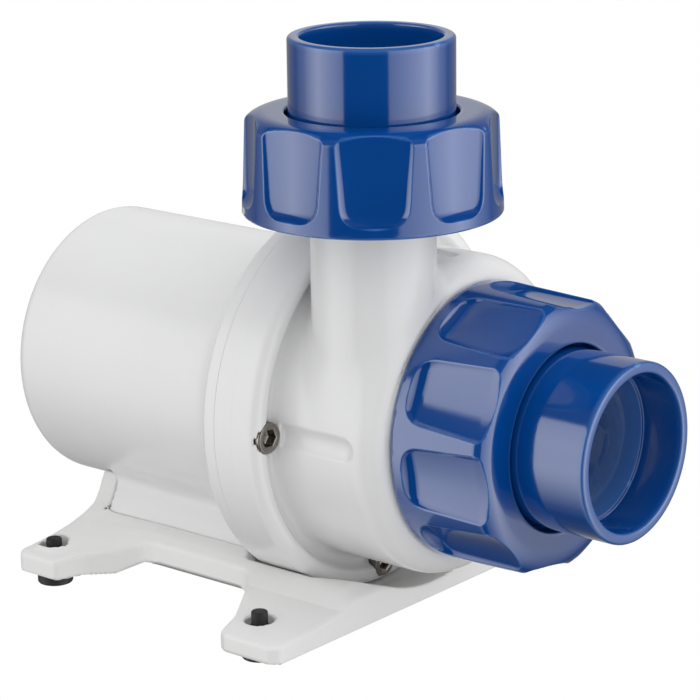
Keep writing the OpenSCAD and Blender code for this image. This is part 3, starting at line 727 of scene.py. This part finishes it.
def rubber_foot(name, x, y):
    """Foot with a ribbed stem that is pulled up through the base."""
    profile = [(0.05, 0), (5, 0)] + arc(5.1, 0.7, 0.7, -80, 0, 4) + [(5.8, 4.9)]
    profile += arc(5.3, 4.9, 0.5, 0, 90, 3) + [(2.6, 5.4), (2.6, 8.5)]
    profile += [(3.4, 8.6)] + arc(3.2, 9.1, 0.4, -20, 60, 3)
    profile += [(2.6, 11), (2.6, 14.2)] + arc(2.1, 14.5, 0.5, 0, 90, 4) + [(0.05, 15)]
    angle = np.arange(64) * 2 * math.pi / 64
    rows = [ring(r, z, angle) for r, z in profile]
    return new_piece(name, *turned_rings(rows, along_z(x, y, 0), closed=False), "pump",
                     "black_rubber", ["rubber_feet"])


for i, (fx, fy) in enumerate(FEET):
    for side in (-1, 1):
        rubber_foot(f"rubber_foot_{i * 2 + (side + 3) // 2}", OUT_X + fx * MM, side * fy * MM)

# ---------------------------------------------------------------- camera

AZIMUTH, ELEVATION, ROLL = (math.radians(a) for a in (39.7, 15.9, -0.7))
DISTANCE = 0.9368
SIDE_SHIFT, UP_SHIFT = -0.0259, 0.0185      # from the outlet's axis to the middle of the view
SENSOR = 36
FOCAL_RATIO = 3000 / 700                    # focal length over the sensor's width

back = Vector((math.sin(AZIMUTH) * math.cos(ELEVATION), -math.cos(AZIMUTH) * math.cos(ELEVATION),
               math.sin(ELEVATION)))
right = Vector((math.cos(AZIMUTH), math.sin(AZIMUTH), 0))
up = back.cross(right)
target = Vector(CENTRE) + right * SIDE_SHIFT + up * UP_SHIFT


def add_camera():
    data = bpy.data.cameras.new("camera")
    data.sensor_width = SENSOR
    data.lens = FOCAL_RATIO * SENSOR
    camera = bpy.data.objects.new("camera", data)
    bpy.context.scene.collection.objects.link(camera)
    turned_right = right * math.cos(ROLL) + up * math.sin(ROLL)
    turned_up = -right * math.sin(ROLL) + up * math.cos(ROLL)
    spin = Matrix((turned_right, turned_up, back)).transposed().to_4x4()
    camera.matrix_world = Matrix.Translation(target + back * DISTANCE) @ spin
    bpy.context.scene.camera = camera


add_camera()

# ---------------------------------------------------------------- studio


def emission(name, strength):
    """Plain white glow."""
    material = bpy.data.materials.new(name)
    material.use_nodes = True
    tree = material.node_tree
    tree.nodes.clear()
    glow = tree.nodes.new("ShaderNodeEmission")
    glow.inputs["Color"].default_value = (1, 1, 1, 1)
    glow.inputs["Strength"].default_value = strength
    output = tree.nodes.new("ShaderNodeOutputMaterial")
    tree.links.new(glow.outputs[0], output.inputs["Surface"])
    return material


def flat_disc(name, radius, height, material):
    mesh = bpy.data.meshes.new(name)
    steps = 96
    mesh.from_pydata([(radius * math.cos(a), radius * math.sin(a), height)
                      for a in np.arange(steps) * 2 * math.pi / steps], [], [list(range(steps))])
    disc = bpy.data.objects.new(name, mesh)
    bpy.context.scene.collection.objects.link(disc)
    mesh.materials.append(material)
    return disc


def ramp(tree, value, half_turn, stops):
    """A value in radians, from -half_turn to half_turn, through brightnesses given in degrees."""
    share = tree.nodes.new("ShaderNodeMapRange")
    share.inputs["From Min"].default_value = -math.radians(half_turn)
    share.inputs["From Max"].default_value = math.radians(half_turn)
    tree.links.new(value, share.inputs["Value"])
    colours = tree.nodes.new("ShaderNodeValToRGB")
    tree.links.new(share.outputs["Result"], colours.inputs["Fac"])
    elements = colours.color_ramp.elements
    while len(elements) < len(stops):
        elements.new(0.5)
    for element, (degrees, bright) in zip(elements, stops):
        element.position = (degrees / half_turn + 1) / 2
        element.color = (bright, bright, bright, 1)
    return colours.outputs["Color"]


def maths(tree, operation, *values):
    node = tree.nodes.new("ShaderNodeMath")
    node.operation = operation
    for socket, value in zip(node.inputs, values):
        if isinstance(value, (int, float)):
            socket.default_value = value
        else:
            tree.links.new(value, socket)
    return node.outputs[0]


floor = flat_disc("floor", 6, -0.0006, emission("pale_floor", 1.0))
floor.visible_glossy = False
floor.visible_diffuse = False
bounce = flat_disc("floor_bounce", 0.3, -0.0003, emission("pale_bounce", 0.66))
bounce.visible_camera = False
bounce.visible_glossy = False

# Two tall soft panels, as reflections see them: degrees to the right of the camera's direction
# and brightness, then degrees above the horizon and brightness
PANEL_TURNS = [(-180, 0.2), (-165, 0.1), (-125, 0.06), (-105, 0.25), (-78, 1), (-40, 0.5),
               (-38.5, 0), (21.5, 0), (23, 0.4), (82, 1), (105, 0.3), (125, 0.06), (165, 0.1),
               (180, 0.2)]
PANEL_RISE = [(-90, 0.2), (-65, 0.2), (-50, 0.35), (-35, 0.6), (-16, 0.95), (10, 1), (31, 0.8),
              (34, 0.05), (90, 0.05)]
PANEL_LIGHT = 2.6
# The room's even light, as matt surfaces get it, in the same way
ROOM_TURNS = [(-180, 0.55), (-80, 0.62), (-20, 0.57), (40, 0.7), (75, 1), (110, 1), (150, 0.6),
              (180, 0.55)]
ROOM_RISE = [(-90, 0.7), (10, 0.73), (45, 0.95), (90, 1)]
ROOM_LIGHT = 1.85


def add_world():
    """Even light on matt surfaces, two soft panels in reflections and plain white behind."""
    world = bpy.data.worlds.new("studio")
    bpy.context.scene.world = world
    world.use_nodes = True
    tree = world.node_tree
    toward = tree.nodes.new("ShaderNodeTexCoord").outputs["Generated"]

    def along(direction):
        node = tree.nodes.new("ShaderNodeVectorMath")
        node.operation = "DOT_PRODUCT"
        tree.links.new(toward, node.inputs[0])
        node.inputs[1].default_value = direction
        return node.outputs["Value"]

    front = Vector((back.x, back.y, 0)).normalized()
    turn = maths(tree, "ARCTAN2", along(right), along(front))
    rise = maths(tree, "ARCSINE", along((0, 0, 1)))

    def sky(turns, rises, bright):
        both_ways = maths(tree, "MULTIPLY", ramp(tree, turn, 180, turns),
                          ramp(tree, rise, 90, rises))
        return maths(tree, "MULTIPLY", both_ways, bright)

    rays = tree.nodes.new("ShaderNodeLightPath")
    light = tree.nodes.new("ShaderNodeMix")
    tree.links.new(rays.outputs["Is Glossy Ray"], light.inputs["Factor"])
    tree.links.new(sky(ROOM_TURNS, ROOM_RISE, ROOM_LIGHT), light.inputs["A"])
    tree.links.new(sky(PANEL_TURNS, PANEL_RISE, PANEL_LIGHT), light.inputs["B"])
    strength = maths(tree, "MAXIMUM", rays.outputs["Is Camera Ray"], light.outputs["Result"])
    tree.links.new(strength, tree.nodes["Background"].inputs["Strength"])
    tree.nodes["Background"].inputs["Color"].default_value = (1, 1, 1, 1)


add_world()
bpy.context.scene.view_settings.view_transform = "Standard"
